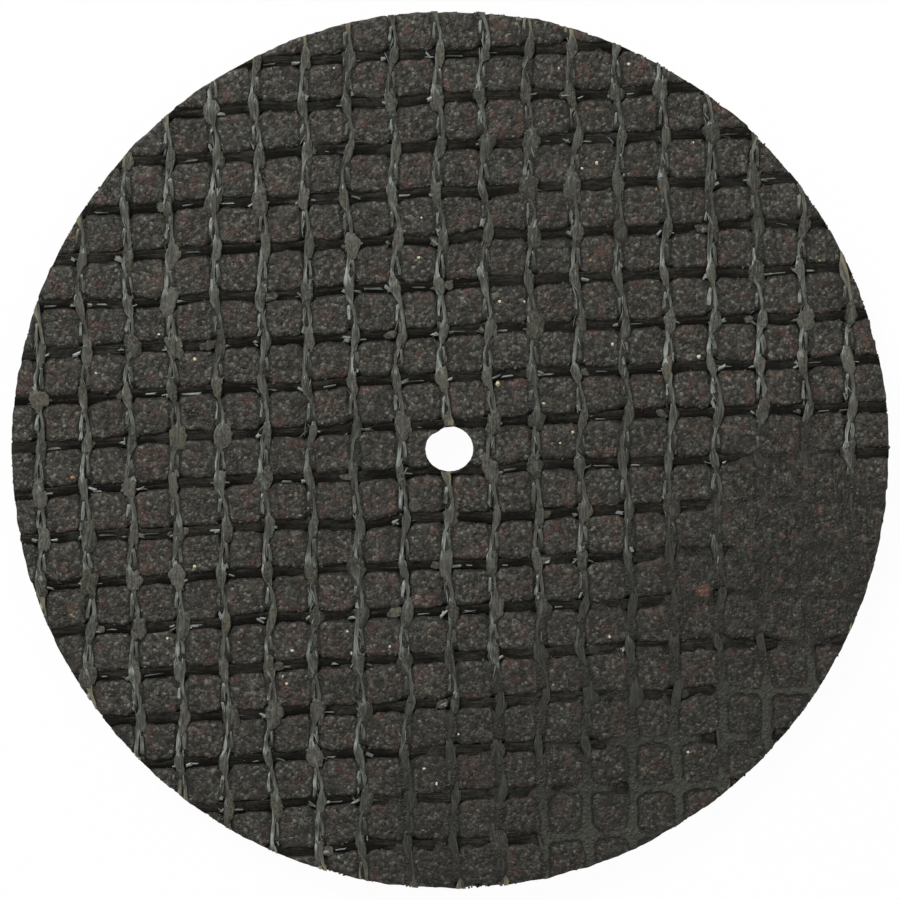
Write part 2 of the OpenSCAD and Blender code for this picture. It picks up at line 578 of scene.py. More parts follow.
def settle(piece: Piece, material: Material, sizes: WheelSizes, smooth_deg: float) -> None:
    """Turns a piece's faces outwards, gives it its finish and brings it into the shared frame.

    Args:
        piece: the piece, in millimetres about the wheel's middle plane.
        material: its finish.
        sizes: the wheel's sizes.
        smooth_deg: edges sharper than this stay sharp.
    """
    pick(piece)
    with editing():
        bpy.ops.mesh.normals_make_consistent(inside=False)
    piece.data.materials.clear()
    piece.data.materials.append(material)
    points = points_of(piece)
    points[:, 2] = np.clip(points[:, 2] + sizes.thickness / 2, 0.0, sizes.thickness + PROUD)
    move_points(piece, points * MM)
    bpy.ops.object.shade_smooth_by_angle(angle=math.radians(smooth_deg))
    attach(piece, "root")
    LOG.info("%s: %d faces", piece.name, len(piece.data.polygons))


class NodeSheet:
    """Lays out the nodes of one material or node group."""

    def __init__(self, tree: bpy.types.NodeTree) -> None:
        """Starts on an empty tree."""
        self.tree = tree
        tree.nodes.clear()

    def add(self, kind: str, inputs: dict[Any, Any] | None = None, **settings: Any) -> bpy.types.Node:
        """Adds a node.

        Args:
            kind: the node's type name.
            inputs: values or sockets for its inputs, by name or number.
            settings: properties of the node itself.
        Returns:
            The node.
        """
        node = self.tree.nodes.new(kind)
        for key, value in settings.items():
            setattr(node, key, value)
        for key, value in (inputs or {}).items():
            if isinstance(value, Socket):
                self.tree.links.new(value, node.inputs[key])
            else:
                node.inputs[key].default_value = value
        return node

    def math(self, operation: str, *values: Any, clamp: bool = False) -> Socket:
        """Result of a Math node on one to three values."""
        inputs = dict(enumerate(values))
        return self.add("ShaderNodeMath", inputs, operation=operation, use_clamp=clamp).outputs[0]

    def times(self, first: Any, second: Any, plus: Any = 0.0) -> Socket:
        """Product of two values, with a third one added."""
        return self.math("MULTIPLY_ADD", first, second, plus)

    def vector(self, operation: str, first: Any, second: Any) -> bpy.types.Node:
        """A vector math node on two vectors."""
        return self.add("ShaderNodeVectorMath", {0: first, 1: second}, operation=operation)

    def blend(self, share: Any, first: Any, second: Any, mode: str = "MIX") -> Socket:
        """Colour mixed from two by a share."""
        inputs = {0: share, 6: first, 7: second}
        return self.add("ShaderNodeMix", inputs, data_type="RGBA", blend_type=mode).outputs[2]

    def step(self, value: Any, low: float, high: float, to_low: float = 0.0, to_high: float = 1.0) -> Socket:
        """Smooth step of a value between two limits."""
        inputs = dict(enumerate((value, low, high, to_low, to_high)))
        return self.add("ShaderNodeMapRange", inputs, interpolation_type="SMOOTHSTEP").outputs[0]

    def place(self, stretch: tuple[float, float, float] = (1.0, 1.0, 1.0), turn: float = 0.0) -> Socket:
        """Object coordinates in millimetres, turned about Z and stretched."""
        source = self.add("ShaderNodeTexCoord").outputs["Object"]
        scale = tuple(s / MM for s in stretch)
        inputs = {"Vector": source, "Rotation": (0.0, 0.0, turn), "Scale": scale}
        return self.add("ShaderNodeMapping", inputs).outputs[0]

    @functools.cached_property
    def here(self) -> Socket:
        """Plain object coordinates in millimetres."""
        return self.place()

    def noise(
        self, scale: float, detail: float = 2.0, roughness: float = 0.5, place: Socket | None = None
    ) -> Socket:
        """Value of a noise texture, at plain coordinates unless others are given."""
        where = self.here if place is None else place
        inputs = {"Vector": where, "Scale": scale, "Detail": detail, "Roughness": roughness}
        return self.add("ShaderNodeTexNoise", inputs).outputs[0]

    def cloud(self, noise: tuple[float, ...], *limits: float) -> Socket:
        """Smooth step of a noise texture."""
        return self.step(self.noise(*noise), *limits)

    def stored(self, name: str) -> Socket:
        """A value that the mesh stores."""
        return self.add("ShaderNodeAttribute", attribute_name=name).outputs["Fac"]

    def effect(self, tree: bpy.types.NodeTree, value: float) -> list[Socket]:
        """Outputs of a shared effect for a value of its one input."""
        return list(self.add("ShaderNodeGroup", {0: value}, node_tree=tree).outputs)

    def bump(self, height: Socket, strength: float, distance: float) -> Socket:
        """Normal bent by a height, with a distance in millimetres."""
        inputs = {"Height": height, "Strength": strength, "Distance": distance * MM}
        return self.add("ShaderNodeBump", inputs).outputs[0]


class SharedEffects:
    """Node groups that more than one finish uses."""

    def __init__(self) -> None:
        """Builds the groups."""
        self.grit, self.streaks = self._grit(), self._streaks()

    @staticmethod
    def _opened(name: str, entry: str) -> tuple[NodeSheet, Socket]:
        """A new group with one input, as its sheet and that input's socket."""
        tree = bpy.data.node_groups.new(name, "ShaderNodeTree")
        tree.interface.new_socket(entry, in_out="INPUT", socket_type="NodeSocketFloat")
        sheet = NodeSheet(tree)
        return sheet, sheet.add("NodeGroupInput").outputs[0]

    @staticmethod
    def _closed(sheet: NodeSheet, **results: Socket) -> bpy.types.NodeTree:
        """The group of a sheet with its outputs."""
        for label in results:
            sheet.tree.interface.new_socket(label, in_out="OUTPUT", socket_type="NodeSocketFloat")
        sheet.add("NodeGroupOutput", results)
        return sheet.tree

    def _grit(self) -> bpy.types.NodeTree:
        """Grains set in resin: a tone and a hue for each grain, the gaps between them and their height."""
        sheet, grains_per_mm = self._opened("grit", "Grains per mm")
        swirl = sheet.add("ShaderNodeTexNoise", {"Vector": sheet.here, "Scale": 9.0}).outputs["Color"]
        swirl = sheet.vector("MULTIPLY", swirl, (0.09,) * 3).outputs[0]
        bent = sheet.vector("ADD", sheet.here, swirl).outputs[0]
        cells = sheet.add("ShaderNodeTexVoronoi", {"Vector": bent, "Scale": grains_per_mm}).outputs
        tone, hue, lift = sheet.add("ShaderNodeSeparateColor", {0: cells["Color"]}).outputs
        dome = sheet.times(sheet.step(cells["Distance"], 0.7, 0.15), lift)
        height = sheet.times(sheet.noise(24.0, 2.0, 0.6), 0.6, dome)
        gap = sheet.step(cells["Distance"], 0.42, 0.72)
        return self._closed(sheet, Tone=tone, Hue=hue, Gap=gap, Height=height)

    def _streaks(self) -> bpy.types.NodeTree:
        """Filaments that run along a yarn, across which the tone changes quickly."""
        sheet, along_x = self._opened("streaks", "Along X")
        upright = sheet.noise(1.0, 3.0, 0.6, sheet.place((22.0, 1.3, 22.0), -GlassNet.WARP_LEAN))
        level = sheet.noise(1.0, 3.0, 0.6, sheet.place((1.3, 22.0, 22.0), -GlassNet.WEFT_LEAN))
        height = sheet.add("ShaderNodeMix", {0: along_x, 2: upright, 3: level}, data_type="FLOAT").outputs[0]
        return self._closed(sheet, Tone=sheet.step(height, 0.3, 0.72), Height=height)


def shade(*screen: int) -> Colour:
    """Linear colour of an 8-bit screen colour's red, green and blue."""
    parts = [value / 255 for value in screen]
    return (*(p / 12.92 if p <= 0.04045 else ((p + 0.055) / 1.055) ** 2.4 for p in parts), 1.0)


@dataclass(frozen=True)
class Finish:
    """What every finish has: a name, the shared effects and a slightly warm gloss."""

    NAME: ClassVar[str]
    TINT: ClassVar[Colour] = (1.0, 0.98, 0.88, 1.0)
    effects: SharedEffects

    def paint(self, sheet: NodeSheet) -> dict[str, Any]:
        """Values and sockets for the shader's inputs."""
        raise NotImplementedError

    def material(self) -> Material:
        """The finish as a material."""
        material = bpy.data.materials.new(self.NAME)
        material.use_nodes = True
        sheet = NodeSheet(material.node_tree)
        shader = sheet.add("ShaderNodeBsdfPrincipled", {"Specular Tint": self.TINT} | self.paint(sheet))
        sheet.add("ShaderNodeOutputMaterial", {0: shader.outputs[0]})
        return material


@dataclass(frozen=True)
class AbrasiveFinish(Finish):
    """Dark grit in black resin, with reddish patches, pale specks and pits."""

    NAME = "bonded_grit"
    dark: Colour = shade(27, 26, 22)
    middle: Colour = shade(60, 59, 53)
    light: Colour = shade(88, 87, 80)
    red: Colour = shade(94, 59, 52)
    rust: Colour = shade(94, 64, 55)
    hair: Colour = shade(88, 89, 80)
    resin: Colour = shade(14, 13, 11)
    run_resin: Colour = shade(26, 26, 23)
    flush_resin: Colour = shade(53, 54, 48)
    grains_per_mm: float = 8.5

    def paint(self, sheet: NodeSheet) -> dict[str, Any]:
        """Grit on the pads, resin in the grooves, and the marks of the flaws over both."""
        tone, hue, gap, height = sheet.effect(self.effects.grit, self.grains_per_mm)
        cover = sheet.stored("cover")
        colour = sheet.blend(sheet.times(gap, 0.6), self._grit(sheet, tone, hue, cover), self.resin)
        spot = sheet.times(sheet.cloud((2.7,), 0.6, 0.72), sheet.stored("rust"))
        colour = sheet.blend(sheet.times(spot, 0.7), colour, self.rust)
        ragged = sheet.times(sheet.noise(6.0), 0.15, sheet.math("SUBTRACT", sheet.stored("edge"), 0.035))
        ghost = sheet.math("SUBTRACT", sheet.cloud((1.1,), 0.4, 0.6, 0.4, 0.95), 1.0)
        bare = sheet.times(sheet.step(ragged, 0.01, 0.07), sheet.times(ghost, cover, 1.0))
        colour = sheet.blend(bare, colour, self._grooves(sheet, ragged))
        # The pits get black resin as painted shade in their holes; the rust lumps get their own rust colour
        for marks, tint in ((MouldingFlaws.PITS, self.resin), (MouldingFlaws.RUST_LUMPS, self.rust)):
            for x, y, radius in marks:
                away = sheet.vector("DISTANCE", sheet.here, (x, y, 1.0)).outputs["Value"]
                away = sheet.times(sheet.noise(5.0), 0.25, away)
                mark = sheet.step(away, 0.12 + 0.7 * radius, 0.16 + radius, 0.9, 0.0)
                colour = sheet.blend(mark, colour, tint)
        rough = sheet.step(tone, 0.0, 1.0, 0.75, 0.45)
        return {"Base Color": colour, "Roughness": rough, "Normal": sheet.bump(height, 0.9, 0.05)}

    def _grit(self, sheet: NodeSheet, tone: Socket, hue: Socket, cover: Socket) -> Socket:
        """Colour of the pads: grains, reddish patches, clouds, and hairs on the covering mix.

        Args:
            sheet: the material's node sheet.
            tone: tone of each grain.
            hue: hue of each grain.
            cover: share of the covering mix.
        Returns:
            The colour.
        """
        colour = sheet.blend(sheet.step(tone, 0.0, 0.8), self.dark, self.middle)
        colour = sheet.blend(sheet.step(tone, 0.75, 1.0), colour, self.light)
        colour = sheet.blend(1.0, colour, sheet.cloud((4.8, 3.0, 0.6), 0.3, 0.72, 0.36, 1.7), "MULTIPLY")
        reddish = sheet.times(sheet.cloud((1.5,), 0.5, 0.68), sheet.step(hue, 0.25, 0.8))
        colour = sheet.blend(sheet.times(reddish, 0.6), colour, self.red)
        murk = sheet.times(sheet.cloud((2.6, 3.0), 0.38, 0.62, -0.78, 0.02), cover, 1.0)
        cloud = sheet.times(sheet.cloud((0.8, 3.0), 0.3, 0.7, 0.84, 1.14), murk)
        cloud = sheet.times(cloud, sheet.step(sheet.stored("damp"), 0.0, 1.0, 1.0, 0.7))
        colour = sheet.blend(1.0, colour, cloud, "MULTIPLY")
        for turn in (0.6, -0.9, 1.9):
            hairs = sheet.noise(1.0, place=sheet.place((9.0, 1.5, 1.0), turn))
            colour = sheet.blend(sheet.times(sheet.step(hairs, 0.6, 0.7, 0.0, 0.4), cover), colour, self.hair)
        return colour

    def _grooves(self, sheet: NodeSheet, ragged: Socket) -> Socket:
        """Colour of the grooves: black, or grey where resin fills them, inside a black outline of painted
        shade for the crevice along the pads.

        Args:
            sheet: the material's node sheet.
            ragged: uneven distance outside a pad.
        Returns:
            The colour.
        """
        fill = sheet.stored("fill")
        mottled = sheet.times(sheet.noise(4.0, 3.0), 0.6, sheet.math("SUBTRACT", fill, 0.3))
        resin = sheet.blend(sheet.step(mottled, 0.1, 0.5), self.resin, self.run_resin)
        resin = sheet.blend(sheet.step(mottled, 0.6, 1.05), resin, self.flush_resin)
        # Painted shade: a thin black line along each pad's outline where resin fills flush, for a crevice
        # that the mesh is too coarse to hold
        painted_crevice_shade = sheet.times(sheet.step(ragged, 0.165, 0.12), sheet.step(fill, 0.2, 0.6, 0.8, 1.0))
        return sheet.blend(painted_crevice_shade, resin, self.resin)


@dataclass(frozen=True)
class GritFinish(Finish):
    """Single grains, each of one tone."""

    NAME = "grit_chips"
    dark: Colour = shade(32, 31, 27)
    middle: Colour = shade(50, 49, 44)
    light: Colour = shade(78, 77, 71)
    red: Colour = shade(94, 59, 52)
    cream: Colour = shade(202, 193, 162)
    amber: Colour = shade(138, 115, 86)

    def paint(self, sheet: NodeSheet) -> dict[str, Any]:
        """Tones up to 1 are grains of the mix, 2 is amber and 3 is cream."""
        tone = sheet.stored("tone")
        colour = sheet.blend(sheet.step(tone, 0.0, 0.7), self.dark, self.middle)
        colour = sheet.blend(sheet.step(tone, 0.7, 1.0), colour, self.light)
        colour = sheet.blend(sheet.cloud((1.5,), 0.5, 0.66, 0.0, 0.6), colour, self.red)
        colour = sheet.blend(sheet.step(tone, 1.4, 1.6), colour, self.amber)
        return {"Base Color": sheet.blend(sheet.step(tone, 2.4, 2.6), colour, self.cream), "Roughness": 0.6}


@dataclass(frozen=True)
class GlassFinish(Finish):
    """Grey glass filaments in thin resin, with pale streaks along them: bare glass, and painted highlights
    where the strands face the lamp.
    """

    NAME = "glass_yarn"
    deep: Colour = shade(42, 42, 37)
    grey: Colour = shade(86, 87, 80)
    # Pale of bare glass, also used as a painted highlight on the strands' lit sides
    bare: Colour = shade(150, 157, 152)
    aged: Colour = shade(126, 118, 94)

    def paint(self, sheet: NodeSheet) -> dict[str, Any]:
        """Streaks along the warps, pale bare glass that also holds painted highlights, wet resin and yellowed
        ends.
        """
        tone, height = sheet.effect(self.effects.streaks, 0.0)
        # Share of the pale: partly bare glass, partly painted highlight, which the mesh stores most on the
        # left strands and just above the wefts
        clean = sheet.times(sheet.stored("bare"), sheet.step(tone, 0.0, 0.8, 0.35, 1.0))
        colour = sheet.blend(clean, sheet.blend(tone, self.deep, self.grey), self.bare)
        colour = sheet.blend(1.0, colour, sheet.step(sheet.stored("wet"), 0.0, 1.0, 1.0, 0.42), "MULTIPLY")
        colour = sheet.blend(sheet.times(sheet.stored("aged"), 0.8), colour, self.aged)
        rough = sheet.cloud((3.0,), 0.3, 0.7, 0.25, 0.5)
        return {"Base Color": colour, "Roughness": rough, "Normal": sheet.bump(height, 0.7, 0.03)}


@dataclass(frozen=True)
class FibreFinish(Finish):
    """Pale clean glass of the loose filaments and shards, whose paleness also serves as painted glints in the
    wefts' grooves.
    """

    NAME = "loose_glass"
    # Pale glass, which also stands in as painted glints on the shards and fibres in the wefts' grooves
    pale: Colour = shade(128, 134, 130)
    grey: Colour = shade(84, 86, 80)

    def paint(self, sheet: NodeSheet) -> dict[str, Any]:
        """Pale and grey patches."""
        cloud = sheet.cloud((1.2,), 0.38, 0.62)
        return {"Base Color": sheet.blend(cloud, self.grey, self.pale), "Roughness": 0.45}


@dataclass(frozen=True)
class WetResinFinish(Finish):
    """Black glossy resin over the wefts, drawn into ridges by the filaments below."""

    NAME = "wet_resin"
    black: Colour = shade(10, 9, 7)
    olive: Colour = shade(45, 44, 39)

    def paint(self, sheet: NodeSheet) -> dict[str, Any]:
        """Streaks along the wefts, which show where the resin is dull."""
        tone, ridges = sheet.effect(self.effects.streaks, 1.0)
        dull = sheet.stored("dull")
        fuzz = sheet.times(tone, sheet.cloud((7.0, 3.0), 0.3, 0.7, 0.3, 1.2))
        worn = sheet.times(dull, sheet.step(fuzz, 0.0, 0.8, 0.1, 1.3))
        lumps = sheet.times(sheet.noise(4.0, 3.0), 1.4, ridges)
        return {
            "Base Color": sheet.blend(worn, self.black, self.olive),
            "Roughness": sheet.step(dull, 0.0, 1.0, 0.25, 0.6),
            "Specular IOR Level": 0.14,
            "Normal": sheet.bump(lumps, 0.45, 0.05),
        }


@dataclass(frozen=True)
class PressedResinFinish(Finish):
    """Flat olive-grey resin, pressed smooth against the mould over the yarns."""

    NAME = "pressed_resin"
    grey: Colour = shade(88, 87, 79)
    dark: Colour = shade(36, 36, 31)
    yellowed: Colour = shade(86, 82, 66)

    def paint(self, sheet: NodeSheet) -> dict[str, Any]:
        """Clouds and streaks, darker or lighter by each flat's tone, which holds a painted highlight along
        the flat's rim.
        """
        tone, ridges = sheet.effect(self.effects.streaks, 0.0)
        cloud = sheet.cloud((8.0, 4.0, 0.7), 0.32, 0.68, -0.65, 0.35)
        fibrous = sheet.times(tone, 0.5, sheet.math("SUBTRACT", cloud, 0.1))
        colour = sheet.blend(sheet.times(sheet.stored("aged"), 0.7), self.grey, self.yellowed)
        # The stored tone carries the painted highlight along each cake's rim
        share = sheet.math("ADD", sheet.stored("tone"), fibrous, clamp=True)
        lumps = sheet.times(sheet.noise(11.0, 3.0), 0.8, ridges)
        return {
            "Base Color": sheet.blend(share, self.dark, colour),
            "Roughness": sheet.cloud((5.0,), 0.3, 0.7, 0.4, 0.65),
            "Normal": sheet.bump(lumps, 0.9, 0.05),
        }


class AbrasiveDisc:
    """The pressed disc: a sheet of pads on each face, cut round and drilled."""

    # Cuts of one pad's spacing, from a yarn's middle to the next
    CUTS = {
        Face.FRONT: (0.0, 0.07, 0.12, 0.165, 0.22, 0.3, 0.4, 0.5, 0.6, 0.7, 0.78, 0.835, 0.88, 0.93),
        Face.BACK: (0.0, 0.1, 0.16, 0.24, 0.37, 0.5, 0.63, 0.76, 0.84, 0.9),
    }
    RIM_SIDES, BORE_SIDES, RIM_RINGS = 720, 96, 7
    RIM_STRAY = 0.032
    # Coarse, fine and broad roughness of the rim: noise, share and stretch across the rim
    RIM_NOISE = (
        (SmoothNoise(41, 0.5), 1.0, 1.0), (SmoothNoise(42, 0.17), 0.6, 1.0), (SmoothNoise(43, 1.7), 0.8, 0.3),
    )
    # How near the edge a vertex of the rim or of the hole lies
    NEAR = 0.004

    def __init__(self, sizes: WheelSizes, reliefs: dict[Face, Relief]) -> None:
        """Keeps the wheel's sizes and the relief of each face."""
        self.sizes, self.reliefs = sizes, reliefs

    def _sheet(self, face: Face) -> Piece:
        """A flat sheet past the rim, whose lines follow the yarns of a face."""
        net = self.reliefs[face].net
        lines = [
            np.array([n + cut for n in range(-reach - 1, reach + 1) for cut in self.CUTS[face]])
            for reach in (net.warp_reach, net.weft_reach)
        ]
        columns, rows = (len(line) - 1 for line in lines)
        sheet = added(bpy.ops.mesh.primitive_grid_add, x_subdivisions=columns, y_subdivisions=rows, size=2.0)
        points = points_of(sheet)
        places = [
            line[np.rint((points[:, axis] + 1) / 2 * (len(line) - 1)).astype(int)]
            for axis, line in enumerate(lines)
        ]
        points[:, 0], points[:, 1] = net.sheet_point(*places)
        points[:, 2] = face.value * self.sizes.pad_z
        move_points(sheet, points)
        if face is Face.BACK:
            with editing():
                bpy.ops.mesh.flip_normals()
        return sheet

    def _punch(self, blank: Piece, operation: str, radius: float, sides: int) -> None:
        """Cuts a blank with a round tool along the wheel's axis.

        Args:
            blank: what is cut.
            operation: INTERSECT keeps what is inside the tool, DIFFERENCE drills it out.
            radius: the tool's radius.
            sides: the tool's number of sides.
        """
        depth = 4 * self.sizes.thickness
        tool = added(bpy.ops.mesh.primitive_cylinder_add, vertices=sides, radius=radius, depth=depth)
        cut = blank.modifiers.new("punch", "BOOLEAN")
        cut.operation, cut.solver, cut.object = operation, "MANIFOLD", tool
        pick(blank)
        bpy.ops.object.modifier_apply(modifier=cut.name)
        bpy.data.objects.remove(tool)

    def build(self) -> Piece:
        """Presses, punches and drills the disc.

        Returns:
            The disc, in millimetres about the middle plane.
        """
        disc = joined([self._sheet(face) for face in Face], "abrasive_disc")
        with editing("DESELECT"):
            bpy.ops.mesh.select_mode(type="EDGE")
            bpy.ops.mesh.select_non_manifold()
            bpy.ops.mesh.bridge_edge_loops()
            bpy.ops.mesh.select_all(action="SELECT")
            bpy.ops.mesh.normals_make_consistent(inside=False)
        self._punch(disc, "INTERSECT", self.sizes.radius, self.RIM_SIDES)
        self._punch(disc, "DIFFERENCE", self.sizes.bore_r, self.BORE_SIDES)
        with editing():
            for ring in range(1, self.RIM_RINGS):
                level = mixed(-self.sizes.pad_z, self.sizes.pad_z, ring / self.RIM_RINGS)
                bpy.ops.mesh.select_all(action="SELECT")
                bpy.ops.mesh.bisect(plane_co=(0, 0, level), plane_no=(0, 0, 1))
        self._press(disc)
        return disc

    def _press(self, disc: Piece) -> None:
        """Gives the disc the relief of both faces, a rough rim and a worn hole."""
        sizes, front, back = self.sizes, self.reliefs[Face.FRONT], self.reliefs[Face.BACK]
        points = points_of(disc)
        # Views, so that they follow the shift of the rim and of the hole below
        x, y, level = points[:, 0], points[:, 1], points[:, 2] / sizes.pad_z
        radius, turn = np.hypot(x, y), np.arctan2(y, x)
        top, bottom = sizes.pad_z + front.height(x, y), -sizes.pad_z - back.height(x, y)
        points[:, 2] = mixed(bottom, top, (level + 1) / 2)
        rough = sum(
            share * noise.at(turn * sizes.radius, stretch * points[:, 2])
            for noise, share, stretch in self.RIM_NOISE
        )
        on_rim, in_bore = radius > sizes.radius - self.NEAR, radius < sizes.bore_r + self.NEAR
        shift = np.where(on_rim, self.RIM_STRAY * (rough - 0.9), 0.0)
        worn = sizes.bore_edge(turn) - sizes.bore_r
        shift = np.where(in_bore, worn + 0.25 * self.RIM_STRAY * rough, shift)
        points[:, :2] *= (1 + shift / radius)[:, None]
        move_points(disc, points)
        on_face = (np.abs(level) > 0.999) & ~on_rim
        for name, ask, idle in (
            ("edge", lambda relief: relief.outside_pad(x, y)[0], -1.0),
            ("fill", lambda relief: relief.fill(x, y), 0.0),
            ("cover", lambda relief: relief.flaws.cover(x, y), 0.0),
            ("rust", lambda relief: relief.flaws.rust(x, y), 0.0),
            ("damp", lambda relief: relief.flaws.wet(x, y), 0.0),
        ):
            store(disc, name, np.where(on_face, np.where(level > 0, ask(front), ask(back)), idle))

    def dress(self, disc: Piece, finish: AbrasiveFinish) -> None:
        """Gives the disc its finish and its place in the frame."""
        settle(disc, finish.material(), self.sizes, 75.0)
        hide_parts("wheel")


@dataclass
class Yarns:
    """What the yarns of one face share: they follow its net, and end at the rim or at the hole."""

    relief: Relief
    # Length of one ring of a yarn
    step: float
    # How far a yarn's end stands into the hole, and how far its fray adds to that
    INTO_HOLE: ClassVar[float] = 0.1
    FRAY: ClassVar[float] = 0.05

    def __post_init__(self) -> None:
        """Takes the net and its flaws from the relief."""
        self.net, self.flaws = self.relief.net, self.relief.flaws
        self.sizes, self.face, self.rng = self.net.sizes, self.net.face, self.net.rng

    def named(self, label: str) -> str:
        """Name of a piece, after the face."""
        return f"{self.face.name.lower()}_{label}"

    def spans(self, offset: float) -> list[Span]:
        """Stretches of a yarn: from rim to rim as -1 to 1, or on each side of the hole at 0."""
        if abs(offset) > self.sizes.radius - 0.08:
            return []
        return [(-1, 0), (0, 1)] if abs(offset) < self.sizes.bore_r else [(-1, 1)]

    def rod(self, sides: int, offset: float, span: Span) -> tuple[Piece, Array]:
        """A straight rod with enough rings for a stretch of a yarn, and its vertex places."""
        reach = math.sqrt(self.sizes.radius**2 - offset**2)
        rod = ringed_rod(sides, max(6, int(reach * (span[1] - span[0]) / self.step)))
        return rod, points_of(rod)

    def along(self, unit: Array, span: Span, offset: float, aside: Callable[[Array], Array]) -> Array:
        """Distances along a yarn for a rod's vertices, so that its ends follow the rim and the hole.

        Args:
            unit: the vertices' share of the rod's length.
            span: the stretch.
            offset: distance of the yarn's line from the wheel's centre.
            aside: the vertices' distance from that line for distances along it.
        Returns:
            The distances.
        """
        rim = self.sizes.radius + self.rng.uniform(-0.03, 0.015, 2)
        into_hole = self.INTO_HOLE + self.rng.uniform(0, self.FRAY)
        across = np.full(len(unit), offset)
        for _ in range(3):
            low, high = (np.sqrt(np.maximum(r**2 - across**2, 0.01)) for r in rim)
            hole = np.sqrt(np.maximum(self.sizes.bore_r**2 - across**2, 0.0)) - into_hole
            along = mixed(-low if span[0] < 0 else hole, high if span[1] > 0 else -hole, unit)
            across = offset + aside(along)
        return along

    def on_face(self, x: Array, y: Array, height: Array) -> Array:
        """Vertex places on the face, with heights from the plane of the pads' tops."""
        return np.stack([x, y, self.face.value * (self.sizes.pad_z + height)], axis=-1)

    def lay(self, rod: Piece, x: Array, y: Array, height: Array) -> Piece:
        """Moves a rod's vertices to places on the face, inside the rim."""
        move_points(rod, self.on_face(*self.sizes.trimmed(x, y), height))
        return rod


class WeftYarns(Yarns):
    """The wefts of one face: flat bundles deep in their grooves under glossy resin."""

    HALF_WIDTH, SIDES = 0.2, 16
    # Height of the crown at its middle and at its edges, of resin that fills the groove, and of the underside
    CROWN, EDGE, FULL, UNDERSIDE = -0.14, -0.19, -0.03, -0.36
    RIDGES, LUMPS = SmoothNoise(301, 1.0), SmoothNoise(302, 0.5)

    def fullness(self, weft: int, x: Array, y: Array) -> Array:
        """Share to which resin fills a weft's groove: every other weft is fuller, mostly on the left."""
        spread = 0.3 * ramp(6.0, -12.0, x) if weft % 2 == 0 else 0.1
        spread = np.maximum(spread, 0.85 * self.flaws.wet(x, y))
        return np.clip(spread + 0.6 * self.RIDGES.at(x / 0.8, y / 0.8), 0.0, 1.0) * (self.face is Face.FRONT)

    def _yarn(self, weft: int, span: Span) -> Piece:
        """One stretch of a weft."""
        net, offset = self.net, self.net.weft_offset(weft)
        rod, points = self.rod(self.SIDES, offset, span)
        share = points[:, 0]
        aside = share * self.HALF_WIDTH
        along = self.along(points[:, 2], span, offset, lambda place: aside + net.weft_waver(weft, place))
        aside = aside * (1 + 0.12 * self.LUMPS.at(along, 7.0 * weft))
        x, y = net.on_weft(weft, along, aside)
        full = self.fullness(weft, x, y)
        ridge = 0.02 * self.RIDGES.at(along / 1.1 + 31 * weft, aside / 0.07) + 0.025 * self.LUMPS.at(x, y)
        top = mixed(self.CROWN, self.EDGE, share**2) + 0.05 * ramp(0.2, 1.0, share) + ridge
        top = top + 0.045 * np.exp(-((net.nearest(x, y)[0] / 0.22) ** 2))
        filled = mixed(top, self.FULL + 0.6 * ridge, 0.7 * full)
        height = np.where(points[:, 1] > -0.01, filled, self.UNDERSIDE)
        height = height - 0.2 * np.maximum(self.flaws.cover(x, y), self.relief.fill(x, y))
        store(rod, "dull", np.clip(mixed(0.12, 1.0, full) + 0.5 * ramp(-0.1, 0.8, share), 0.0, 1.0))
        return self.lay(rod, x, y, height)

    def build(self) -> Piece:
        """All the wefts of the face as one piece."""
        wefts = [(weft, span) for weft in self.net.wefts for span in self.spans(self.net.weft_offset(weft))]
        return joined([self._yarn(*weft) for weft in wefts], self.named("wefts"))


